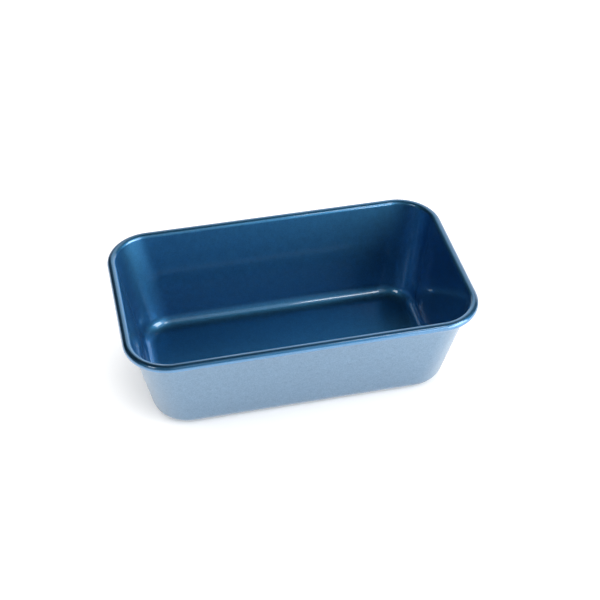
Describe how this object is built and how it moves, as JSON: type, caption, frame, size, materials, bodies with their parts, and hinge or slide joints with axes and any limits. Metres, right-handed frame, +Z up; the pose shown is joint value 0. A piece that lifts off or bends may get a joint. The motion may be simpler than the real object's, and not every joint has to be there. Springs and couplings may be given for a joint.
{
  "type": "loaf pan",
  "caption": "Deep rectangular loaf pan of coated sheet steel with leaning walls, rounded corners and a wired, rolled rim.",
  "frame": {"origin": "middle of the underside, on the surface that the pan stands on", "axes": "+X along the pan's length, +Y across it, +Z up out of its mouth"},
  "size_m": [0.24, 0.143, 0.0743],
  "materials": {
    "coated_steel": "satin blue metallic non-stick coating with fine flake",
    "bare_steel": "drawn wire"
  },
  "bodies": {
    "root": {"pan_body": "coated_steel", "rim_wire": "bare_steel"}
  },
  "joints": []
}
